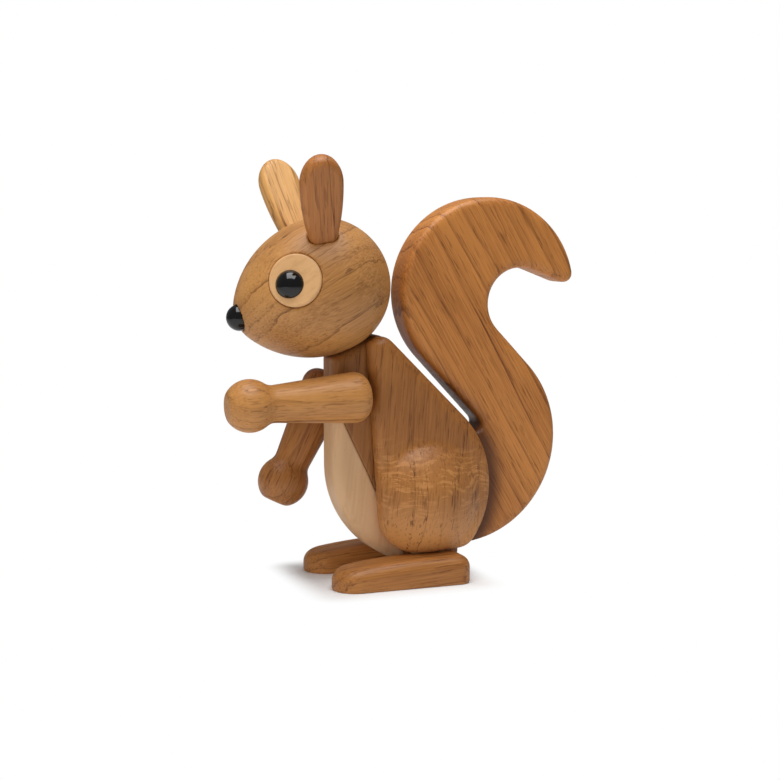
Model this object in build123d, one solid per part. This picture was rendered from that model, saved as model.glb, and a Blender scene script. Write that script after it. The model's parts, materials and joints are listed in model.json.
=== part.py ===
from build123d import *
import math
import os

os.makedirs("parts", exist_ok=True)

# Wooden squirrel figurine, in millimetres. It sits on its feet on Z = 0 and faces -Y.
# Its left side is +X.

# Centre layer of the body: oak torso and maple belly
torso_thickness = 14.0
front_y = -22.0
front_round = 3.5
belly_radius = 34.8
belly_z = 38.5
belly_ground_gap = 6.5
belly_slant_angle = 25.4
belly_glue_y = -8.0
belly_glue_z = 30.9

# Side layers: flank plate with the haunch
flank_thickness = 6.0
flank_round = 4.0
flank_knee_round = 13.0
flank_heel_round = 7.0
flank_front_lean_angle = 4.0
flank_front_y = -10.4
back_radius = 33.0
back_y = -0.8
back_z = 31.1
back_angle = 45.0
back_top_round = 5.0
haunch_radius = 25.0
haunch_y = 8.9
haunch_z = 27.4
haunch_width = 42.0

# Neck: a dowel that turns in a bush, on an axis that leans forward
neck_y = -14.0
neck_z = 78.5
neck_lean_angle = 27.0
neck_gap = 0.3
neck_dowel_diameter = 6.0
neck_dowel_in_head = 15.0
neck_bush_diameter = 8.6
neck_bush_length = 14.0
bush_end_gap = 0.5

# Head: an egg with its nose turned down
head_diameter = 44.8
head_front = 30.7
head_nose_radius = 12.4
head_pitch_angle = 20.5
head_flat_depth = 1.2

# Ears
ear_width = 13.8
ear_root_width = 8.2
ear_length = 27.4
ear_widest = 18.0
ear_thickness = 6.5
ear_edge_round = 2.6
ear_station = -2.0
ear_roll_angle = 38.5
ear_splay_angle = 27.0
ear_lean_angle = 11.0
ear_sink = 3.0
ear_dowel_diameter = 4.0
ear_dowel_in_ear = 8.0
ear_dowel_in_head = 8.0

# Eyes and nose
eye_station = 13.0
eye_roll_angle = 65.4
eye_disc_diameter = 17.0
eye_disc_thickness = 3.6
eye_disc_inset = 0.8
eye_disc_round = 0.8
eye_diameter = 9.7
eye_dome_height = 3.6
eye_seat_depth = 0.8
eye_forward = 2.1
eye_down = 0.4
eye_shank_diameter = 3.0
eye_shank_length = 8.0
nose_diameter = 8.6
nose_inset = 1.3
nose_rise = 0.8
nose_shank_diameter = 3.0
nose_shank_length = 12.0

# Arms
shoulder_y = -18.4
shoulder_z = 62.4
shoulder_radius = 8.7
shoulder_rear = 5.8
shoulder_end_round = 5.0
shoulder_gap = 0.3
shoulder_flat_depth = 6.2
wrist_radius = 5.9
wrist_round = 4.0
hand_radius = 8.5
hand_end = 7.4
hand_end_round = 3.0
arm_reach = 34.0
left_arm_drop_angle = 2.0
right_arm_drop_angle = 64.0
arm_sweep_gap = 0.4
arm_dowel_diameter = 3.5
arm_dowel_in_arm = 8.0
arm_bush_diameter = 5.0
arm_bush_length = 5.0
arm_bush_inset = 1.6

# Feet
foot_length = 46.5
foot_width = 15.5
foot_height = 9.3
foot_heel_y = 21.0
foot_x = 15.0
foot_crown_radius = 170.0
foot_crown_y = 6.0
foot_heel_round = 4.6
foot_edge_round = 4.0
foot_dowel_diameter = 4.0
foot_dowel_in_foot = 6.0
foot_dowel_in_flank = 8.0
foot_dowel_x = 9.8
foot_dowel_y = 10.0
foot_dowel_spacing = 8.0

# Tail: a flat slab cut to an S
tail_side_gap = 0.2
tail_edge_round = 2.5
tail_seat_y = 22.0
tail_tongue_reach = 11.6
tail_crotch_round = 2.0
bulge_radius = 35.6
bulge_y = 23.0
bulge_z = 45.5
waist_straight = 17.6
waist_angle = 63.7
hook_radius = 12.0
curl_radius = 31.8
curl_back = 11.7
curl_rise = 3.9
curl_front_angle = 47.0
tip_radius = 3.0
tip_straight = 11.9
tail_dowel_diameter = 5.0
tail_dowel_length = 24.0
tail_dowel_margin = 8.5

# Fits, measured on the radius
glue_gap = 0.03
running_gap = 0.06

# Sizes and places that follow from those above
torso_half = torso_thickness / 2
back_center = Vector(back_y, back_z)
neck_axis = Vector(0, -math.sin(math.radians(neck_lean_angle)), math.cos(math.radians(neck_lean_angle)))
neck_seat = Vector(0, neck_y, neck_z)
nose_axis = Vector(0, -math.cos(math.radians(head_pitch_angle)), -math.sin(math.radians(head_pitch_angle)))
head_radius = head_diameter / 2
arm_x = torso_half + shoulder_gap + shoulder_flat_depth
far_away = 200.0
same_place = 0.01
sides = {"left": 1, "right": -1}
arm_drop = {"left": left_arm_drop_angle, "right": right_arm_drop_angle}
parts = {}
head_center = neck_seat + neck_axis * (neck_gap + head_radius - head_flat_depth)
head_plane = Plane(origin=head_center, x_dir=(1, 0, 0), z_dir=nose_axis)
neck_plane = Plane(origin=neck_seat, x_dir=(1, 0, 0), z_dir=neck_axis)


def in_head(x, up, forward):
    """A point given across, above and in front of the egg's middle."""
    return head_plane.from_local_coords(Vector(x, up, forward))


def side_profile(edges):
    """A closed outline drawn in Y and Z, as a face on the middle plane."""
    return Plane.YZ * make_face(edges)


def rod(plane, radius, low, high):
    """A round rod on a plane's normal, between two heights."""
    return plane.offset(low) * Cylinder(radius, high - low, align=(Align.CENTER, Align.CENTER, Align.MIN))


def below(plane):
    """A large block under a plane, for planing a piece flat."""
    return plane * Box(far_away, far_away, far_away, align=(Align.CENTER, Align.CENTER, Align.MAX))


def polar(center, radius, degrees):
    """A point on a circle, with the angle counted from +Y towards +Z."""
    turn = math.radians(degrees)
    return Vector(center.X + radius * math.cos(turn), center.Y + radius * math.sin(turn))


def crossing(point, direction, other_point, other_direction):
    """Where two straight lines of the side view meet."""
    gap = other_point - point
    turn = direction.X * other_direction.Y - direction.Y * other_direction.X
    step = (gap.X * other_direction.Y - gap.Y * other_direction.X) / turn
    return point + direction * step


def inner_tangent(first, first_radius, second, second_radius, turn):
    """Ends of the straight line that crosses between two circles, touching one on each side."""
    link = second - first
    spread = math.degrees(math.acos((first_radius + second_radius) / link.length))
    heading = math.degrees(math.atan2(link.Y, link.X))
    return (polar(first, first_radius, heading + turn * spread),
            polar(second, second_radius, heading + 180 + turn * spread))


def circle_crossing(first, first_radius, second, second_radius):
    """The left-hand crossing of two circles, seen from the first towards the second."""
    link = second - first
    along = (link.length ** 2 + first_radius ** 2 - second_radius ** 2) / (2 * link.length)
    spread = math.degrees(math.acos(along / first_radius))
    return polar(first, first_radius, math.degrees(math.atan2(link.Y, link.X)) + spread)


def round_corner(face, corner, radius):
    """A face of the side view with one corner of its outline rounded."""
    return fillet([
        vertex for vertex in face.vertices()
        if (Vector(vertex.Y, vertex.Z) - corner).length < same_place
    ], radius)


# The straight back of the body, tangent to the round of the rump
back_tangent = polar(back_center, back_radius, back_angle)
back_slope = Vector(-math.sin(math.radians(back_angle)), math.cos(math.radians(back_angle)))
seat_point = Vector(neck_y, neck_z)
seat_slope = Vector(math.cos(math.radians(neck_lean_angle)), math.sin(math.radians(neck_lean_angle)))
seat_back = crossing(seat_point, seat_slope, back_tangent, back_slope)
seat_front = crossing(seat_point, seat_slope, Vector(front_y, 0), Vector(0, 1))

# The shoulder's rear end sweeps this radius as the arm swings
shoulder_sweep = shoulder_end_round + math.hypot(
    shoulder_rear - shoulder_end_round, shoulder_radius - shoulder_end_round)


def make_shoulder_plane(side):
    return Plane(origin=(side * torso_half, shoulder_y, shoulder_z), z_dir=(side, 0, 0))


# The tail's outline: bulge, waist, hook, curl and tip, as circles and the straight lines between them
bulge_center = Vector(bulge_y, bulge_z)
hook_center = polar(bulge_center, math.hypot(bulge_radius + hook_radius, waist_straight), waist_angle)
curl_center = hook_center - Vector(curl_back, -curl_rise)
tip_center = circle_crossing(
    curl_center, curl_radius - tip_radius,
    hook_center, math.hypot(hook_radius + tip_radius, tip_straight))
waist_low, waist_high = inner_tangent(bulge_center, bulge_radius, hook_center, hook_radius, -1)
hook_end, tip_start = inner_tangent(hook_center, hook_radius, tip_center, tip_radius, 1)
tip_heading = (tip_center - curl_center).normalized()
tip_end = tip_center + tip_heading * tip_radius
tip_middle = tip_center + ((tip_start - tip_center) + (tip_end - tip_center)).normalized() * tip_radius
curl_front = polar(curl_center, curl_radius, 270 - curl_front_angle)
curl_top = polar(curl_center, curl_radius, 110)
front_heading = Vector(math.cos(math.radians(curl_front_angle)), -math.sin(math.radians(curl_front_angle)))
crotch = crossing(curl_front, front_heading, Vector(tail_seat_y + tail_tongue_reach, 0), Vector(0, 1))
tongue_top = Vector(tail_seat_y, crotch.Y)
tongue_foot = Vector(tail_seat_y, bulge_z - math.sqrt(bulge_radius ** 2 - (tail_seat_y - bulge_y) ** 2))
bulge_back = polar(bulge_center, bulge_radius, 0)
hook_front = polar(hook_center, hook_radius, 180)

# Torso and belly, cut from one outline by the slanted glue plane
tail_top = crossing(Vector(tail_seat_y, 0), Vector(0, 1), back_tangent, back_slope)
tail_foot = Vector(tail_seat_y, belly_ground_gap)
belly_center = Vector(front_y + belly_radius, belly_z)
belly_drop = math.degrees(math.asin((belly_z - belly_ground_gap) / belly_radius))
belly_front = polar(belly_center, belly_radius, 180)
belly_middle = polar(belly_center, belly_radius, 180 + belly_drop / 2)
belly_bottom = polar(belly_center, belly_radius, 180 + belly_drop)
center_outline = side_profile([
    Line(belly_front, seat_front),
    Line(seat_front, seat_back),
    Line(seat_back, tail_top),
    Line(tail_top, tail_foot),
    Line(tail_foot, belly_bottom),
    ThreePointArc(belly_bottom, belly_middle, belly_front),
])
center_layer = extrude(round_corner(center_outline, seat_back, back_top_round), torso_half, both=True)
front_edges = [
    edge for edge in center_layer.edges()
    if abs(abs(edge.center().X) - torso_half) < same_place
    and (abs(edge.center().Y - front_y) < same_place or edge.geom_type == GeomType.CIRCLE)
]
center_layer = fillet(front_edges, front_round)

glue_point = Vector(0, belly_glue_y, belly_glue_z)
glue_normal = Vector(0, math.cos(math.radians(belly_slant_angle)), math.sin(math.radians(belly_slant_angle)))
glue_plane = Plane(origin=glue_point, x_dir=(1, 0, 0), z_dir=glue_normal)
belly_side = below(glue_plane)
parts["belly"] = center_layer & belly_side
torso = center_layer - belly_side

neck_depth = neck_bush_length + bush_end_gap
torso -= rod(neck_plane, neck_bush_diameter / 2 + glue_gap, -neck_depth, far_away)
parts["neck_bush"] = (
    rod(neck_plane, neck_bush_diameter / 2, -neck_depth, -bush_end_gap)
    - rod(neck_plane, neck_dowel_diameter / 2 + running_gap, -far_away, far_away)
)

for name, side in sides.items():
    shoulder = make_shoulder_plane(side)
    bush_low = -arm_bush_inset - arm_bush_length
    torso -= rod(shoulder, arm_bush_diameter / 2 + glue_gap, bush_low, far_away)
    parts[name + "_arm_bush"] = (
        rod(shoulder, arm_bush_diameter / 2, bush_low, -arm_bush_inset)
        - rod(shoulder, arm_dowel_diameter / 2 + running_gap, -far_away, far_away)
    )

tail_dowel_planes = [
    Plane(origin=(0, tail_seat_y, height), z_dir=(0, 1, 0))
    for height in (tongue_foot.Y + tail_dowel_margin, tongue_top.Y - tail_dowel_margin)
]
tail_dowel_half = tail_dowel_length / 2
tail_bores = [
    rod(plane, tail_dowel_diameter / 2 + glue_gap, -tail_dowel_half, tail_dowel_half)
    for plane in tail_dowel_planes
]
for bore in tail_bores:
    torso -= bore
parts["torso"] = torso
parts["tail_dowels"] = Compound([
    rod(plane, tail_dowel_diameter / 2, -tail_dowel_half, tail_dowel_half) for plane in tail_dowel_planes
])

# Flanks: a plate with a rounded rim, and the haunch as the cap of a ball
lean = math.radians(flank_front_lean_angle)
front_slope = Vector(-math.sin(lean), math.cos(lean))
front_point = Vector(flank_front_y, shoulder_z)
flank_top = crossing(front_point, front_slope, seat_point, seat_slope)
flank_foot = crossing(front_point, front_slope, Vector(0, foot_height), Vector(1, 0))
rump_drop = back_center.Y - foot_height
rump_foot = Vector(back_center.X + math.sqrt(back_radius ** 2 - rump_drop ** 2), foot_height)
rump_back = polar(back_center, back_radius, 0)
flank_outline = side_profile([
    Line(flank_foot, flank_top),
    Line(flank_top, seat_back),
    Line(seat_back, back_tangent),
    ThreePointArc(back_tangent, rump_back, rump_foot),
    Line(rump_foot, flank_foot),
])
flank_outline = round_corner(flank_outline, seat_back, back_top_round)
flank_outline = round_corner(flank_outline, flank_foot, flank_knee_round)
flank_outline = round_corner(flank_outline, rump_foot, flank_heel_round)
foot_dowel_places = [foot_dowel_y - foot_dowel_spacing / 2, foot_dowel_y + foot_dowel_spacing / 2]
for name, side in sides.items():
    plate = extrude(flank_outline, flank_thickness)
    plate = fillet(plate.edges().filter_by_position(Axis.X, flank_thickness, flank_thickness), flank_round)
    haunch_x = haunch_width / 2 - torso_half - haunch_radius
    haunch_ball = Pos(haunch_x, haunch_y, haunch_z) * Sphere(haunch_radius)
    haunch = haunch_ball & extrude(flank_outline, haunch_width)
    flank = Pos(torso_half, 0, 0) * (plate + haunch)
    if side < 0:
        flank = mirror(flank, about=Plane.YZ)
    shoulder = make_shoulder_plane(side)
    flank -= rod(shoulder, shoulder_sweep + arm_sweep_gap, 0, far_away)
    foot_dowels = []
    for place in foot_dowel_places:
        peg = Plane(origin=(side * foot_dowel_x, place, foot_height))
        flank -= rod(peg, foot_dowel_diameter / 2 + glue_gap, -foot_height, foot_dowel_in_flank)
        foot_dowels.append(rod(peg, foot_dowel_diameter / 2, -foot_dowel_in_foot, foot_dowel_in_flank))
    parts[name + "_flank"] = flank
    parts[name + "_foot_dowels"] = Compound(foot_dowels)

# Feet: a round toe, a square heel and a top that falls towards the toe
toe_radius = foot_width / 2
toe_y = foot_heel_y - foot_length + toe_radius
for name, side in sides.items():
    sole = make_face([
        Line((-toe_radius, toe_y), (-toe_radius, foot_heel_y)),
        Line((-toe_radius, foot_heel_y), (toe_radius, foot_heel_y)),
        Line((toe_radius, foot_heel_y), (toe_radius, toe_y)),
        ThreePointArc((toe_radius, toe_y), (0, toe_y - toe_radius), (-toe_radius, toe_y)),
    ])
    sole = fillet(sole.vertices().group_by(Axis.Y)[-1], foot_heel_round)
    foot = extrude(sole, foot_height)
    crown = Plane(origin=(0, foot_crown_y, foot_height - foot_crown_radius), z_dir=(1, 0, 0))
    foot_back = Pos(0, foot_crown_y, 0) * Box(
        far_away, far_away, foot_height, align=(Align.CENTER, Align.MIN, Align.MIN))
    foot &= rod(crown, foot_crown_radius, -far_away, far_away) + foot_back
    top_rim = [
        edge for edge in foot.edges()
        if edge.center().Z > foot_height / 2 and abs(edge.tangent_at(0.5).Z) < 0.9
        and not (abs(edge.center().X) < same_place and toe_y < edge.center().Y < foot_heel_y - same_place)
    ]
    foot = fillet(top_rim, foot_edge_round)
    foot = Pos(side * foot_x, 0, 0) * foot
    for place in foot_dowel_places:
        peg = Plane(origin=(side * foot_dowel_x, place, foot_height))
        foot -= rod(peg, foot_dowel_diameter / 2 + glue_gap, -foot_dowel_in_foot, far_away)
    parts[name + "_foot"] = foot


# Tail: a board sawn to that outline, with its rim rounded
tail_face = side_profile([
    ThreePointArc(tip_end, curl_top, curl_front),
    Line(curl_front, crotch),
    Line(crotch, tongue_top),
    Line(tongue_top, tongue_foot),
    ThreePointArc(tongue_foot, bulge_back, waist_low),
    Line(waist_low, waist_high),
    ThreePointArc(waist_high, hook_front, hook_end),
    Line(hook_end, tip_start),
    ThreePointArc(tip_start, tip_middle, tip_end),
])
tail_face = round_corner(tail_face, crotch, tail_crotch_round)
tail_half = torso_half - tail_side_gap
tail = extrude(tail_face, tail_half, both=True)
tail_rim = [
    edge for edge in tail.edges()
    if abs(abs(edge.center().X) - tail_half) < same_place and abs(edge.center().Y - tail_seat_y) > same_place
]
tail = fillet(tail_rim, tail_edge_round)
for bore in tail_bores:
    tail -= bore
parts["tail"] = tail

# Head: an egg, with a ball behind, long cheeks and a small ball at the nose
nose_station = head_front - head_nose_radius
cheek_reach = nose_station ** 2 + head_radius ** 2 - head_nose_radius ** 2
cheek_radius = cheek_reach / (2 * (head_radius - head_nose_radius))
cheek_center = Vector(head_radius - cheek_radius, 0)
cheek_heading = (Vector(0, nose_station) - cheek_center).normalized()
cheek_end = cheek_center + cheek_heading * cheek_radius
cheek_middle = cheek_center + (cheek_heading + Vector(1, 0)).normalized() * cheek_radius
nose_middle = Vector(0, nose_station) + (cheek_heading + Vector(0, 1)).normalized() * head_nose_radius
cheek_face = make_face([
    Line((0, 0), (head_radius, 0)),
    ThreePointArc((head_radius, 0), cheek_middle, cheek_end),
    ThreePointArc(cheek_end, nose_middle, (0, head_front)),
    Line((0, head_front), (0, 0)),
])
ball_plane = Plane(origin=head_center, x_dir=(0, -seat_slope.X, -seat_slope.Y), z_dir=neck_axis)
head_ball = ball_plane * Sphere(head_radius) & below(head_plane)
egg = head_ball + head_plane * revolve(Plane.YZ * cheek_face, Axis.Z)
neck_flat = neck_plane.offset(neck_gap)
head = egg - below(neck_flat)
head -= rod(neck_plane, neck_dowel_diameter / 2 + glue_gap, 0, neck_dowel_in_head)
parts["neck_dowel"] = rod(neck_plane, neck_dowel_diameter / 2, bush_end_gap - neck_depth, neck_dowel_in_head)


def egg_spot(station, roll, side):
    """A place on the egg's ball or cheeks, and the outward direction there."""
    curve = cheek_radius if station >= 0 else head_radius
    reach = math.sqrt(curve ** 2 - station ** 2)
    radius = reach - curve + head_radius
    across = side * math.sin(math.radians(roll))
    up = math.cos(math.radians(roll))
    spot = in_head(radius * across, radius * up, station)
    outward = in_head(reach * across, reach * up, station) - head_center
    return spot, outward.normalized()


def make_ear(ear_plane, grow):
    """An ear as a leaf-shaped paddle, or with some room round it as the mortise that takes its root."""
    ear_half = ear_width / 2 + grow
    root_half = ear_root_width / 2 + grow
    ear_foot = -ear_sink - grow
    crown_rise = ear_length - ear_widest + grow
    ear_face = make_face([
        TangentArc((ear_widest, -ear_half), (ear_foot, -root_half), tangent=(-1, 0)),
        EllipticalCenterArc((ear_widest, 0), crown_rise, ear_half, start_angle=-90, arc_size=180),
        TangentArc((ear_widest, ear_half), (ear_foot, root_half), tangent=(-1, 0)),
        Line((ear_foot, root_half), (ear_foot, -root_half)),
    ])
    half_thickness = ear_thickness / 2 + grow
    paddle = extrude(ear_plane * ear_face, half_thickness, both=True)
    rim = [
        edge for edge in paddle.edges()
        if abs(abs(ear_plane.to_local_coords(edge.center()).Z) - half_thickness) < same_place
        and ear_plane.to_local_coords(edge.center()).X > ear_foot + same_place
    ]
    return fillet(rim, ear_edge_round + grow)


# Ears: paddles with their root in a mortise, each on a dowel
for name, side in sides.items():
    root, outward = egg_spot(ear_station, ear_roll_angle, side)
    splay = math.tan(math.radians(ear_splay_angle))
    forward_lean = math.tan(math.radians(ear_lean_angle))
    rise = Vector(side * splay, -forward_lean, 1).normalized()
    ear_normal = rise.cross(Vector(0, 1, 0)).normalized()
    ear_plane = Plane(origin=root, x_dir=rise, z_dir=ear_normal)
    dowel_line = Plane(origin=root - rise * ear_sink, z_dir=rise)
    ear_bore = rod(dowel_line, ear_dowel_diameter / 2 + glue_gap, -ear_dowel_in_head, ear_dowel_in_ear)
    head -= make_ear(ear_plane, glue_gap)
    head -= ear_bore
    parts[name + "_ear"] = make_ear(ear_plane, 0) - ear_bore
    parts[name + "_ear_dowel"] = rod(
        dowel_line, ear_dowel_diameter / 2, -ear_dowel_in_head, ear_dowel_in_ear)

# Eyes: a maple disc let into the head, and a black peg seated off its centre
for name, side in sides.items():
    spot, outward = egg_spot(eye_station, eye_roll_angle, side)
    forward = (nose_axis - outward * nose_axis.dot(outward)).normalized()
    disc_plane = Plane(origin=spot, x_dir=forward, z_dir=outward)
    disc_top = -eye_disc_inset
    disc_foot = disc_top - eye_disc_thickness
    disc = rod(disc_plane, eye_disc_diameter / 2, disc_foot, disc_top)
    disc_rim = [
        edge for edge in disc.edges().filter_by(GeomType.CIRCLE)
        if abs(disc_plane.to_local_coords(edge.arc_center).Z - disc_top) < same_place
    ]
    disc = fillet(disc_rim, eye_disc_round)
    head -= rod(disc_plane, eye_disc_diameter / 2 + glue_gap, disc_foot, far_away)
    eye_origin = disc_plane.from_local_coords(Vector(eye_forward, side * eye_down, disc_top - eye_seat_depth))
    eye_plane = Plane(origin=eye_origin, x_dir=forward, z_dir=outward)
    eye_radius = eye_diameter / 2
    ball_radius = (eye_radius ** 2 + eye_dome_height ** 2) / (2 * eye_dome_height)
    ball = eye_plane.offset(eye_dome_height - ball_radius) * Sphere(ball_radius)
    shank = rod(eye_plane, eye_shank_diameter / 2, -eye_shank_length, eye_seat_depth)
    eye = (ball - below(eye_plane)) + shank
    shank_bore = rod(eye_plane, eye_shank_diameter / 2 + glue_gap, -eye_shank_length, far_away)
    disc -= shank_bore
    disc -= rod(eye_plane, eye_radius + glue_gap, 0, far_away)
    head -= shank_bore
    parts[name + "_eye_disc"] = disc
    parts[name + "_eye"] = eye

# Nose: a ball half sunk into the end of the egg
nose_plane = Plane(origin=in_head(0, nose_rise, head_front - nose_inset), x_dir=(1, 0, 0), z_dir=nose_axis)
nose_radius = nose_diameter / 2
parts["nose"] = nose_plane * Sphere(nose_radius) + rod(
    nose_plane, nose_shank_diameter / 2, -nose_shank_length, 0)
head -= nose_plane * Sphere(nose_radius + glue_gap)
head -= rod(nose_plane, nose_shank_diameter / 2 + glue_gap, -nose_shank_length, 0)
parts["head"] = head

# Arms: turned clubs with a flat on the inside of the shoulder
wrist_u = arm_reach - math.sqrt(hand_radius ** 2 - wrist_radius ** 2)
hand_u = arm_reach + hand_end
hand_top = polar(Vector(arm_reach, 0), hand_radius, 90)
hand_rim = Vector(hand_u, math.sqrt(hand_radius ** 2 - hand_end ** 2))
arm_face = make_face([
    Line((-shoulder_rear, 0), (-shoulder_rear, shoulder_radius)),
    Line((-shoulder_rear, shoulder_radius), (wrist_u, wrist_radius)),
    ThreePointArc((wrist_u, wrist_radius), hand_top, hand_rim),
    Line(hand_rim, (hand_u, 0)),
    Line((hand_u, 0), (-shoulder_rear, 0)),
])
hand_corner = [
    vertex for vertex in arm_face.vertices()
    if (Vector(vertex.X, vertex.Y) - hand_rim).length < same_place
]
arm_face = fillet(hand_corner, hand_end_round)
rear_corner = [
    vertex for vertex in arm_face.vertices()
    if abs(vertex.X + shoulder_rear) < same_place and vertex.Y > same_place
]
arm_face = fillet(rear_corner, shoulder_end_round)
wrist_corner = [
    vertex for vertex in arm_face.vertices()
    if (Vector(vertex.X, vertex.Y) - Vector(wrist_u, wrist_radius)).length < same_place
]
arm_face = fillet(wrist_corner, wrist_round)
arm_turning = revolve(arm_face, Axis.X)
for name, side in sides.items():
    drop = math.radians(arm_drop[name])
    reach = Vector(0, -math.cos(drop), -math.sin(drop))
    arm_plane = Plane(origin=(side * arm_x, shoulder_y, shoulder_z), x_dir=reach, z_dir=(side, 0, 0))
    flat = arm_plane.offset(-shoulder_flat_depth)
    flat_cut = flat * Box(2 * (wrist_u - wrist_round), far_away, far_away,
                          align=(Align.CENTER, Align.CENTER, Align.MAX))
    arm = arm_plane * arm_turning - flat_cut
    shoulder = make_shoulder_plane(side)
    dowel_low = bush_end_gap - arm_bush_inset - arm_bush_length
    dowel_high = shoulder_gap + arm_dowel_in_arm
    arm -= rod(shoulder, arm_dowel_diameter / 2 + glue_gap, 0, dowel_high)
    parts[name + "_arm"] = arm
    parts[name + "_arm_dowel"] = rod(shoulder, arm_dowel_diameter / 2, dowel_low, dowel_high)

# The origin goes under the middle of the whole figure
boxes = [piece.bounding_box() for piece in parts.values()]
low = [min(tuple(box.min)[i] for box in boxes) for i in range(3)]
high = [max(tuple(box.max)[i] for box in boxes) for i in range(3)]
shift = Vector(0, -(low[1] + high[1]) / 2, -low[2])
for name, piece in parts.items():
    export_step(Pos(shift) * piece, os.path.join("parts", name + ".step"))

print("size", [round(top - bottom, 2) for bottom, top in zip(low, high)])
print("neck pivot", neck_seat + shift, "axis", neck_axis)
print("shoulder pivot", Vector(arm_x, shoulder_y, shoulder_z) + shift)
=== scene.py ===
# %% [markdown]
# # A wooden squirrel, dressed
# The solids of the squirrel are already measured and jointed. This lesson gives them a sanded skin, real
# wood and a quiet studio. The frame is loaded first, because every piece sits where its solid sits and
# moves with the same body.

# %% The measured frame
import bmesh
import bpy
import json
import math
from mathutils import Matrix, Vector


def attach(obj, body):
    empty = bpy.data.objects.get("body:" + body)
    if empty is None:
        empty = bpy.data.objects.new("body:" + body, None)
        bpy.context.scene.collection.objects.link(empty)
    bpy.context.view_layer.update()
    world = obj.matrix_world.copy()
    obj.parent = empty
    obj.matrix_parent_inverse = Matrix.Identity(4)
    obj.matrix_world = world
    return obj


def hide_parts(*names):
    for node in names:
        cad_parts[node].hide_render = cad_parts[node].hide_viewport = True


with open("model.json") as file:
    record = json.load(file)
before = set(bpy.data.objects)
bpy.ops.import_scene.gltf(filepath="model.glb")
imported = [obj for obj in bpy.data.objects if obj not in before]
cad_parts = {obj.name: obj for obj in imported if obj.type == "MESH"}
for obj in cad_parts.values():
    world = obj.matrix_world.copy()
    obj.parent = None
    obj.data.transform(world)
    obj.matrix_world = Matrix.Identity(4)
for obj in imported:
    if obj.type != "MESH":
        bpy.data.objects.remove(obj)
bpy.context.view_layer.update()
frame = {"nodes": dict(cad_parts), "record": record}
scene = bpy.context.scene
solids = frame["nodes"]
body_of = {}
for body, members in frame["record"]["behaviour"]["bodies"].items():
    for member in members:
        body_of[member] = body
MM = 0.001

# %% [markdown]
# ## The camera
# The photograph looks at the squirrel's left side, a little from the front and a little from above, with a
# long lens. A camera can be placed by eye or from angles. Here its place was worked out by laying the solids
# over the photograph, so the outline falls where it does in the picture.

# %% Camera
eye_level = Vector((484.0, -188.4, 121.4)) * MM
look_at = Vector((0.0, -2.55, 62.7)) * MM
lens = bpy.data.cameras.new("view")
lens.lens = 72.2
lens.sensor_width = 36.0
lens.clip_start = 0.01
camera = bpy.data.objects.new("view", lens)
camera.location = eye_level
camera.rotation_euler = (look_at - eye_level).to_track_quat("-Z", "Y").to_euler()
scene.collection.objects.link(camera)
scene.camera = camera
print("camera distance in mm:", round((look_at - eye_level).length / MM, 1))

# %% [markdown]
# ## Shader sums as Python
# A material is a tree of nodes, and long trees are hard to read. One small class wraps a socket, so that a
# sum such as `1 - pores * 0.4` adds its own Math nodes. Numbers go through Math, colours through Mix and
# places through Vector Math, and `add` makes every other node.

# %% A socket that does sums
class Shade:
    """One socket in a node tree."""

    def __init__(self, tree, socket=None):
        self.tree = tree
        self.socket = socket

    def add(self, kind, settings=None, inputs=None, output=0):
        node = self.tree.nodes.new(kind)
        for key, value in (settings or {}).items():
            setattr(node, key, value)
        for key, value in (inputs or {}).items():
            if isinstance(value, Shade):
                self.tree.links.new(value.socket, node.inputs[key])
            else:
                node.inputs[key].default_value = value
        return Shade(self.tree, node.outputs[output])

    def math(self, operation, first, second=0.0):
        return self.add("ShaderNodeMath", {"operation": operation}, {0: first, 1: second})

    def __add__(self, other):
        return self.math("ADD", self, other)

    def __sub__(self, other):
        return self.math("SUBTRACT", self, other)

    def __rsub__(self, other):
        return self.math("SUBTRACT", other, self)

    def __mul__(self, other):
        return self.math("MULTIPLY", self, other)

    def __truediv__(self, other):
        return self.math("DIVIDE", self, other)

    def __rtruediv__(self, other):
        return self.math("DIVIDE", other, self)

    __radd__ = __add__
    __rmul__ = __mul__

    def scaled(self, x, y, z):
        return self.add("ShaderNodeVectorMath", {"operation": "MULTIPLY"}, {0: self, 1: (x, y, z)})

    def part(self, letter):
        return self.add("ShaderNodeSeparateXYZ", None, {0: self}, letter)

    def fade(self, low, high):
        """0 below low, 1 above high, eased between. Low above high fades the other way."""
        return self.add("ShaderNodeMapRange", {"interpolation_type": "SMOOTHSTEP"},
                        {"Value": self, "From Min": low, "From Max": high})

    def paint(self, under, over):
        """The colour under where this is 0, and the colour over where it is 1."""
        return self.add("ShaderNodeMix", {"data_type": "RGBA"}, {0: self, 6: under, 7: over}, 2)


def colour(red, green, blue):
    """A colour as a paint chart gives it, 0 to 255, made linear for the shader."""
    chart = [min(value, 255) / 255 for value in (red, green, blue)]
    return (*[v / 12.92 if v <= 0.04045 else ((v + 0.055) / 1.055) ** 2.4 for v in chart], 1.0)


def stained(tone, red, green, blue):
    """A tone of wood with each of its three parts weakened or lifted."""
    return colour(tone[0] * red, tone[1] * green, tone[2] * blue)


print("oak heartwood, linear:", [round(v, 3) for v in colour(190, 130, 70)])

# %% [markdown]
# ## Where the grain runs
# Wood is a solid pattern: it goes through the piece, and a cut only shows it. So the pattern reads Object
# coordinates, not a wrapped picture. A Mapping node turns them until Z runs along the grain, and counts in
# millimetres. Each board has its own offset, as if cut from another place in the log.

# %% Coordinates of a board
def start_material(name):
    material = bpy.data.materials.new(name)
    material.use_nodes = True
    return material, Shade(material.node_tree), material.node_tree.nodes["Principled BSDF"]


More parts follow.
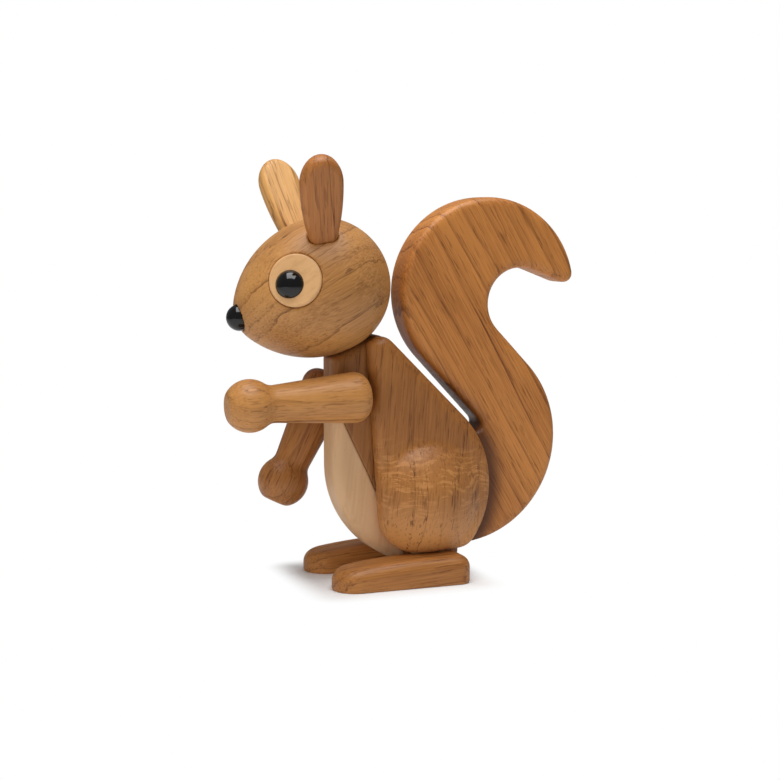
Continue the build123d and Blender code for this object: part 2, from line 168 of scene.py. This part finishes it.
def board(shade, along, face, offset):
    """Millimetres in the board: Z along the grain, Y across it on the wide face, X through the board."""
    grain = Vector(along).normalized()
    across = grain.cross(Vector(face)).normalized()
    through = across.cross(grain)
    turn = Matrix((through, across, grain)).to_euler()
    place = shade.add("ShaderNodeTexCoord", None, None, "Object")
    return place.add("ShaderNodeMapping", None, {
        "Vector": place, "Location": offset, "Rotation": turn, "Scale": (1 / MM, 1 / MM, 1 / MM)})


def streak(place, x, y, z, detail):
    """Noise with so many turns per millimetre along each way of the board."""
    return place.add("ShaderNodeTexNoise", None, {
        "Vector": place.scaled(x, y, z), "Scale": 1.0, "Detail": detail, "Roughness": 0.55})


def plug(shade, bsdf, sockets):
    for name, value in sockets.items():
        if isinstance(value, Shade):
            shade.tree.links.new(value.socket, bsdf.inputs[name])
        else:
            bsdf.inputs[name].default_value = value


print("board coordinates ready")

# %% [markdown]
# ## Oiled oak
# Oak shows growth rings, which a board shows as thin dark lines, some strong and some hardly there; pores,
# the short dark dashes along the grain; and fine pale fibres. A photograph of oak would slide over the round
# pieces, so each of these is built from stretched noise. The rings count whole years across the board, and
# each year draws its own strength. The oil is a faint coat.

# %% Oak
def oak(name, along, face, offset, tone, spacing, slope=0.35, lines=0.6, flecks_and_painted_light=None, painted_corner_shade=None):
    material, shade, bsdf = start_material(name)
    place = board(shade, along, face, offset)
    sway = streak(place, 0.03, 0.03, 0.005, 1.0)
    wander = streak(place, 0.2, 0.2, 0.012, 2.0)
    ring = (place.part("Y") + place.part("X") * slope + sway * 18.0 + wander * 5.0) / spacing
    year = ring.math("FLOOR", ring)
    climb = ring - year
    strength = year.add("ShaderNodeTexWhiteNoise", {"noise_dimensions": "1D"}, {"W": year})
    fading = streak(place, 0.2, 0.2, 0.025, 1.0).fade(0.35, 0.6)
    rings = climb.fade(0.80, 0.96) * climb.fade(1.0, 0.97) * (0.1 + strength * 0.9) * (0.2 + fading * 0.8)
    late = climb.fade(0.15, 1.0) * (0.3 + strength * 0.7)
    pores = streak(place, 1.7, 1.7, 0.12, 2.0).fade(0.56, 0.66) * (0.35 + late * 0.65)
    fibres = streak(place, 1.8, 1.8, 0.04, 3.0).fade(0.35, 0.68)
    cloud = streak(place, 0.07, 0.07, 0.014, 2.0).fade(0.3, 0.7)
    wood = cloud.paint(stained(tone, 1.06, 1.06, 1.05), stained(tone, 0.91, 0.87, 0.82))
    wood = (late * 0.6).paint(wood, stained(tone, 0.82, 0.75, 0.66))
    wood = (fibres * 0.5).paint(wood, stained(tone, 1.13, 1.16, 1.22))
    # The ray flecks are the wood's own; the same mask also carries painted light on the lower haunch.
    if flecks_and_painted_light:
        wood = flecks_and_painted_light(place).paint(wood, stained(tone, 1.34, 1.46, 1.76))
    wood = (rings * lines).paint(wood, stained(tone, 0.56, 0.46, 0.34))
    wood = (pores * 0.75).paint(wood, stained(tone, 0.52, 0.41, 0.30))
    # Painted shade: where a part is shaded by its neighbour, the wood is darkened.
    if painted_corner_shade:
        wood = painted_corner_shade(shade).paint(wood, stained(tone, 0.42, 0.32, 0.24))
    height = fibres * 0.4 - pores - rings * 0.5
    bump = height.add("ShaderNodeBump", None, {"Height": height, "Strength": 0.35, "Distance": 0.00012})
    plug(shade, bsdf, {"Base Color": wood, "Roughness": 0.46 + pores * 0.25 - fibres * 0.06, "Normal": bump,
                       "Specular IOR Level": 0.35, "Coat Weight": 0.04, "Coat Roughness": 0.3})
    print("oak:", name)
    return material


# %% [markdown]
# ## Ray flecks
# Where a cut runs along the radius of the log, oak shows its rays: pale, wavy ripples that lie across the
# grain. They come in patches, and the wood around them is paler too. A noise stretched across the grain makes
# the ripples, a slow one bends them, and a third keeps them in patches below a height on the haunch. The same
# mask also paints the lower haunch paler towards the bottom: painted light, for the light thrown up by the
# white floor.

# %% Ray flecks
def ripples_and_painted_light(low, high):
    """Flecks, and painted light that pales the lower haunch: at their full below low, gone above high, in
    millimetres.
    """
    def flecks_and_painted_light(place):
        height = place.part("Z")
        bend = height + streak(place, 0.06, 0.06, 0.06, 1.0) * 14.0
        bent = place.add("ShaderNodeCombineXYZ", None, {
            "X": place.part("X"), "Y": place.part("Y"), "Z": bend})
        crest = streak(bent, 0.2, 0.19, 0.95, 2.0).fade(0.48, 0.64)
        patch = streak(place, 0.1, 0.1, 0.1, 1.0).fade(0.30, 0.5) * height.fade(low - 20.0, low - 4.0)
        # Painted light: the haunch grows paler towards the bottom, for the light from the white floor.
        pale_and_painted_light = 0.2 + height.fade(low - 6.0, low - 24.0) * 0.8
        return (pale_and_painted_light + crest * patch * 0.5) * height.fade(high, low)
    return flecks_and_painted_light


print("ray flecks ready")

# %% [markdown]
# ## Maple, beech, and what is black
# The belly and the discs behind the eyes are maple: pale, close and almost without lines. The dowels are
# beech, known by its small brown flecks. Eyes and nose are polished black, and even that has a little haze
# and dust in its shine, which keeps it from looking like a hole.

# %% Maple, beech, polish and sleeve
def maple(name, along, face, offset, tone):
    material, shade, bsdf = start_material(name)
    place = board(shade, along, face, offset)
    cloud = streak(place, 0.06, 0.06, 0.014, 2.0).fade(0.3, 0.7)
    lines = streak(place, 0.6, 0.6, 0.015, 2.0).fade(0.48, 0.72)
    specks = streak(place, 2.4, 2.4, 0.35, 2.0).fade(0.62, 0.74)
    brown = stained(tone, 0.86, 0.79, 0.70)
    wood = cloud.paint(stained(tone, 1.02, 1.02, 1.02), stained(tone, 0.96, 0.94, 0.91))
    wood = (lines * 0.35).paint(wood, brown)
    wood = (specks * 0.35).paint(wood, brown)
    height = lines * 0.3 - specks
    bump = height.add("ShaderNodeBump", None, {"Height": height, "Strength": 0.2, "Distance": 0.0001})
    plug(shade, bsdf, {"Base Color": wood, "Roughness": 0.48 + specks * 0.2, "Normal": bump,
                       "Specular IOR Level": 0.35, "Coat Weight": 0.04, "Coat Roughness": 0.35})
    print("maple or beech:", name)
    return material


def polish(name):
    material, shade, bsdf = start_material(name)
    place = board(shade, (0, 0, 1), (1, 0, 0), (0, 0, 0))
    haze = streak(place, 0.3, 0.3, 0.3, 3.0).fade(0.4, 0.7)
    dust = streak(place, 5.0, 5.0, 5.0, 1.0).fade(0.74, 0.82)
    black = dust.paint(haze.paint(colour(7, 6, 6), colour(13, 11, 11)), colour(50, 47, 45))
    plug(shade, bsdf, {"Base Color": black, "Roughness": 0.1 + haze * 0.06 + dust * 0.3})
    print("polish:", name)
    return material


def sleeve(name):
    material, shade, bsdf = start_material(name)
    place = board(shade, (0, 0, 1), (1, 0, 0), (0, 0, 0))
    cloud = streak(place, 0.4, 0.4, 0.4, 3.0)
    grey = cloud.paint(colour(58, 56, 54), colour(82, 79, 75))
    plug(shade, bsdf, {"Base Color": grey, "Roughness": 0.5 + cloud * 0.2})
    print("sleeve:", name)
    return material


# %% [markdown]
# ## Sanding the boards
# The solids come as loose triangles with crisp corners. A maker would round the corners with paper. The
# same is done here: a copy is merged, given an even skin by a voxel Remesh, and rubbed with a few passes of
# smoothing. More passes make a softer edge. Modelling each board again by hand would only risk a poor fit.

# %% Sanding
def sanded(node, finish, voxel, passes):
    copy = bmesh.new()
    copy.from_mesh(solids[node].data)
    bmesh.ops.remove_doubles(copy, verts=copy.verts, dist=0.002 * MM)
    mesh = bpy.data.meshes.new(node + "_rough")
    copy.to_mesh(mesh)
    copy.free()
    piece = bpy.data.objects.new(node + "_sanded", mesh)
    scene.collection.objects.link(piece)
    skin = piece.modifiers.new("even skin", "REMESH")
    skin.mode = "VOXEL"
    skin.voxel_size = voxel * MM
    even = bpy.data.meshes.new_from_object(piece.evaluated_get(bpy.context.evaluated_depsgraph_get()))
    piece.modifiers.clear()
    piece.data = even
    rub = bmesh.new()
    rub.from_mesh(even)
    for _ in range(passes):
        bmesh.ops.smooth_vert(rub, verts=rub.verts, factor=0.5,
                              use_axis_x=True, use_axis_y=True, use_axis_z=True)
    return settle(piece, rub, node, finish)


def settle(piece, shape, node, finish):
    """Writes the shape into the piece, shades it smooth and puts it in its solid's place."""
    for face in shape.faces:
        face.smooth = True
    shape.to_mesh(piece.data)
    shape.free()
    piece.data.materials.clear()
    piece.data.materials.append(finish)
    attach(piece, body_of[node])
    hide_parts(node)
    print(piece.name, "faces:", len(piece.data.polygons))
    return piece


# %% [markdown]
# ## The body: centre layer and flanks
# The body is glued up from three layers. Torso and belly share the middle one, and the flanks cover it. The
# grain stands upright in all of them. The haunches are cut near the radius, so they get the flecks, and their
# lower part is painted paler as painted light from the floor. They are rubbed longest, because there the
# haunch runs softly into the flank.

# %% Body
upright = (0.0, 0.08, 1.0)
outward = (1.0, 0.0, 0.0)
torso_oak = oak("oak_torso", upright, outward, (3.0, 11.0, 40.0), (151, 99, 51), 4.5)
sanded("torso", torso_oak, 0.4, 3)
belly_maple = maple("maple_belly", (0.0, 0.1, 1.0), outward, (9.0, 2.0, 7.0), (226, 186, 144))
sanded("belly", belly_maple, 0.4, 3)
# Painted light: each flank's lower haunch is painted paler, for the light from the floor.
left_oak = oak("oak_left_flank", upright, outward, (31.0, -17.0, 0.0), (155, 100, 48), 4.5, 0.4, 0.4,
               ripples_and_painted_light(36.0, 52.0))
sanded("left_flank", left_oak, 0.5, 22)
right_oak = oak("oak_right_flank", upright, outward, (-44.0, 23.0, 0.0), (155, 100, 48), 4.5, 0.4, 0.4,
                ripples_and_painted_light(34.0, 51.0))
sanded("right_flank", right_oak, 0.5, 22)

# %% [markdown]
# ## Feet and tail
# The feet are short boards with the grain from heel to toe. The tail is one flat board, and its grain leans:
# the lines fall from the front of the curl towards the heel, as in the photograph. Where the tail goes in
# between the flanks, shade is painted into the tail's colour. The flank ends there in an arc, so the painted
# shade follows a circle round the arc's centre and fades over a few millimetres.

# %% Feet and tail
FLANK_ARC_Y = -3.35
FLANK_ARC_Z = 31.1
PAINTED_SHADE_FULL = 34.5
PAINTED_SHADE_END = 41.5


# Painted shade on the tail: darkest along the flanks' rear arc, fading out away from it.
def painted_flank_shade(shade):
    spot = shade.add("ShaderNodeTexCoord", None, None, "Object")
    back = spot.part("Y") / MM - FLANK_ARC_Y
    up = spot.part("Z") / MM - FLANK_ARC_Z
    reach = back.math("SQRT", back * back + up * up)
    return reach.fade(PAINTED_SHADE_END, PAINTED_SHADE_FULL) * 0.9


heel_to_toe = (0.0, 1.0, 0.06)
foot_tones = {"left": (174, 116, 59), "right": (188, 126, 66)}
foot_offsets = {"left": (5.0, 8.0, 30.0), "right": (15.0, 28.0, 3.0)}
for side in ("left", "right"):
    foot_oak = oak("oak_%s_foot" % side, heel_to_toe, outward, foot_offsets[side],
                   foot_tones[side], 3.6, 0.5, 0.8)
    sanded(side + "_foot", foot_oak, 0.4, 5)
# The tail's finish carries painted shade beside the flanks.
tail_oak = oak("oak_tail", (0.0, 0.5, -0.866), outward, (12.0, 4.0, 9.0), (190, 124, 61), 6.5, 0.3, 1.0,
               painted_corner_shade=painted_flank_shade)
sanded("tail", tail_oak, 0.5, 16)

# %% [markdown]
# ## The head and ears
# The head is a turned egg. Its grain rises from the cheek to the crown, a little steeper than the egg's own
# axis. Each ear is cut along its length, so the lines run to the tip. The right ear came from paler wood.

# %% Head and ears
cheek_to_crown = (0.0, 0.88, 0.47)
head_oak = oak("oak_head", cheek_to_crown, outward, (7.0, 19.0, 2.0), (183, 130, 73), 5.0, 0.3, 0.7)
sanded("head", head_oak, 0.45, 8)
left_ear_oak = oak("oak_left_ear", (0.447, -0.171, 0.878), (-0.891, 0.0, 0.454), (4.0, 6.0, 1.0),
                   (172, 110, 56), 3.4, 0.3, 0.8)
sanded("left_ear", left_ear_oak, 0.4, 6)
right_ear_oak = oak("oak_right_ear", (-0.447, -0.171, 0.878), (-0.891, 0.0, -0.454), (24.0, 3.0, 8.0),
                    (208, 156, 92), 3.4, 0.3, 0.8)
sanded("right_ear", right_ear_oak, 0.4, 6)

# %% [markdown]
# ## The arms
# Both arms are turned clubs, and the grain runs from shoulder to hand. The left arm is held almost level and
# the right one hangs, so each has its own direction of grain.

# %% Arms
arm_drops = {"left": 2.0, "right": 64.0}
arm_tones = {"left": (184, 128, 70), "right": (164, 108, 56)}
arm_offsets = {"left": (2.0, 9.0, 4.0), "right": (8.0, 1.0, 14.0)}
for side, degrees in arm_drops.items():
    drop = math.radians(degrees)
    reach = (0.0, -math.cos(drop), -math.sin(drop))
    arm_oak = oak("oak_%s_arm" % side, reach, outward, arm_offsets[side], arm_tones[side], 4.2, 0.35, 0.8)
    sanded(side + "_arm", arm_oak, 0.45, 5)

# %% [markdown]
# ## Eye discs, eyes and nose
# These are small and shiny, so a lathe shape with clean rings is better than a sanded copy: any facet would
# show in the shine. A disc is a short cylinder with a bevelled rim. An eye is a ball cut off by a plane, and
# the plane sits in the disc.

# %% Discs, eyes and nose
DISC_RADIUS = 8.5
DISC_DEPTH = 3.6
DISC_RIM = 0.8
DISC_SUNK = 0.8
EYE_RADIUS = 5.067
EYE_HEIGHT = 3.6
NOSE_RADIUS = 4.3
NOSE_CUT = -2.4


def facing(origin, ahead, out):
    """Turns a shape made round Z to stand at a place on the head, with Z pointing out of it."""
    z = Vector(out).normalized()
    x = (Vector(ahead) - z * z.dot(Vector(ahead))).normalized()
    y = z.cross(x)
    turn = Matrix((x, y, z)).transposed().to_4x4()
    return Matrix.Translation(Vector(origin) * MM) @ turn


def new_piece(name):
    piece = bpy.data.objects.new(name, bpy.data.meshes.new(name))
    scene.collection.objects.link(piece)
    return piece


def turned_disc(node, place, finish):
    shape = bmesh.new()
    bmesh.ops.create_cone(shape, cap_ends=True, cap_tris=False, segments=96,
                          radius1=DISC_RADIUS * MM, radius2=DISC_RADIUS * MM, depth=DISC_DEPTH * MM)
    rim = [edge for edge in shape.edges if all(v.co.z > 0 for v in edge.verts)]
    bmesh.ops.bevel(shape, geom=rim, offset=DISC_RIM * MM, offset_type="OFFSET", segments=6, profile=0.5,
                    affect="EDGES", material=-1)
    bmesh.ops.translate(shape, verts=shape.verts, vec=(0, 0, (-DISC_SUNK - DISC_DEPTH / 2) * MM))
    bmesh.ops.transform(shape, matrix=place, verts=shape.verts)
    bmesh.ops.recalc_face_normals(shape, faces=shape.faces)
    return settle(new_piece(node + "_turned"), shape, node, finish)


def bead(node, place, radius, lift, cut, finish):
    """A polished ball, cut off at a height and closed below."""
    shape = bmesh.new()
    bmesh.ops.create_uvsphere(shape, u_segments=72, v_segments=48, radius=radius * MM)
    bmesh.ops.translate(shape, verts=shape.verts, vec=(0, 0, lift * MM))
    geom = shape.verts[:] + shape.edges[:] + shape.faces[:]
    bmesh.ops.bisect_plane(shape, geom=geom, plane_co=(0, 0, cut * MM), plane_no=(0, 0, 1), clear_inner=True)
    rim = [edge for edge in shape.edges if edge.is_boundary]
    bmesh.ops.holes_fill(shape, edges=rim, sides=0)
    bmesh.ops.transform(shape, matrix=place, verts=shape.verts)
    bmesh.ops.recalc_face_normals(shape, faces=shape.faces)
    return settle(new_piece(node + "_bead"), shape, node, finish)


black = polish("polished_black")
nose_axis = (0.0, -0.936672, -0.350207)
for side, sign in (("left", 1), ("right", -1)):
    out = (sign * 0.840756, -0.491429, 0.227216)
    disc_place = facing((sign * 18.0287, -41.3806, 100.8355), nose_axis, out)
    eye_place = facing((sign * 16.1230, -42.1692, 99.1395), nose_axis, out)
    disc_maple = maple("maple_%s_disc" % side, cheek_to_crown, out, (sign * 6.0, 3.0, 5.0), (224, 177, 124))
    turned_disc(side + "_eye_disc", disc_place, disc_maple)
    bead(side + "_eye", eye_place, EYE_RADIUS, EYE_HEIGHT - EYE_RADIUS, 0.0, black)
nose_place = facing((0.0, -54.1315, 88.11), (1, 0, 0), nose_axis)
bead("nose", nose_place, NOSE_RADIUS, 0.0, NOSE_CUT, black)

# %% [markdown]
# ## Inside
# Dowels and sleeves are hidden, and show only when the pieces are taken apart. Their shapes are right as
# they are, so the solids stay and only get a finish.

# %% Dowels and sleeves
dowel_beech = maple("beech_dowel", (0, 0, 1), (1, 0, 0), (1.0, 1.0, 1.0), (205, 160, 114))
dark_sleeve = sleeve("dark_sleeve")
for name, solid in solids.items():
    if "dowel" in name or "bush" in name:
        solid.data.materials.clear()
        solid.data.materials.append(dowel_beech if "dowel" in name else dark_sleeve)
        print("finished:", name)

# %% [markdown]
# ## The backdrop
# The picture was taken on white. The world is white to the camera, but dim as a light, so that the sides of
# the squirrel stay darker than its top. Light Path tells the two kinds of ray apart.

# %% Backdrop
DIM_LIGHT = 0.12
MIRROR_LIFT = 0.1
scene.view_settings.view_transform = "Standard"
world = bpy.data.worlds.new("studio")
scene.world = world
world.use_nodes = True
sky = Shade(world.node_tree)
camera_ray, glossy_ray, through_ray = [
    sky.add("ShaderNodeLightPath", None, None, kind)
    for kind in ("Is Camera Ray", "Is Glossy Ray", "Is Transmission Ray")]
seen = sky.math("MAXIMUM", camera_ray, through_ray)
backdrop = world.node_tree.nodes["Background"]
brightness = DIM_LIGHT + seen * (1 - DIM_LIGHT) + glossy_ray * MIRROR_LIFT
plug(sky, backdrop, {"Color": (1.0, 1.0, 1.0, 1.0), "Strength": brightness})
print("backdrop ready")

# %% [markdown]
# ## The floor
# The floor is white paint. Close to the feet it is mostly real paint, so it keeps the soft shadow, and
# further out it turns into plain white for the camera. The way out is measured from the block of floor that
# the feet stand on, because a wide shadow would not be true to the picture.

# %% Floor
FEET_HALF_WIDTH = 22 * MM
FEET_HALF_LENGTH = 23 * MM
FEET_FORWARD = 5 * MM
SHADOW_REACH = 12 * MM
floor = new_piece("floor")
ground = bmesh.new()
bmesh.ops.create_grid(ground, x_segments=1, y_segments=1, size=3.0)
ground.to_mesh(floor.data)
ground.free()
floor_paint, ground_shade, plain = start_material("floor_paint")
plug(ground_shade, plain, {"Base Color": (0.93, 0.93, 0.93, 1.0), "Roughness": 0.8})
spot = ground_shade.add("ShaderNodeTexCoord", None, None, "Object")
aside = spot.math("ABSOLUTE", spot.part("X")) - FEET_HALF_WIDTH
ahead = spot.math("ABSOLUTE", spot.part("Y") + FEET_FORWARD) - FEET_HALF_LENGTH
aside = aside.math("MAXIMUM", aside, 0.0)
ahead = ahead.math("MAXIMUM", ahead, 0.0)
distance = aside.math("SQRT", aside * aside + ahead * ahead)
view_ray = ground_shade.add("ShaderNodeLightPath", None, None, "Is Camera Ray")
glow = ground_shade.add("ShaderNodeEmission", None, {"Color": (1.0, 1.0, 1.0, 1.0), "Strength": 1.0})
whiteness = (0.05 + distance.fade(0.0, SHADOW_REACH) * 0.95) * view_ray
paint = Shade(ground_shade.tree, plain.outputs[0])
white = ground_shade.add("ShaderNodeMixShader", None, {0: whiteness, 1: paint, 2: glow})
surface = floor_paint.node_tree.nodes["Material Output"].inputs["Surface"]
ground_shade.tree.links.new(white.socket, surface)
floor.data.materials.append(floor_paint)
print("floor ready")

# %% [markdown]
# ## The lamps
# One large soft lamp hangs overhead and does nearly all the work: tops are bright, sides are dark, and the
# white floor lights the underside. A weak second lamp, low in front, opens the shadows on the belly. It is
# kept out of reflections, so the eyes show one lamp only.

# %% Lamps
def softbox(name, place, aim, size, watts, mirrored=True):
    lamp = bpy.data.lights.new(name, "AREA")
    lamp.shape = "SQUARE"
    lamp.size = size
    lamp.energy = watts
    holder = bpy.data.objects.new(name, lamp)
    holder.location = Vector(place) * MM
    holder.rotation_euler = ((Vector(aim) - Vector(place)) * MM).to_track_quat("-Z", "Y").to_euler()
    holder.visible_glossy = mirrored
    scene.collection.objects.link(holder)
    print("lamp:", name, watts, "W")


softbox("overhead", (110, -50, 660), (0, 0, 60), 0.55, 4.8)
softbox("fill", (330, -560, 60), (0, 0, 40), 0.4, 1.25, mirrored=False)
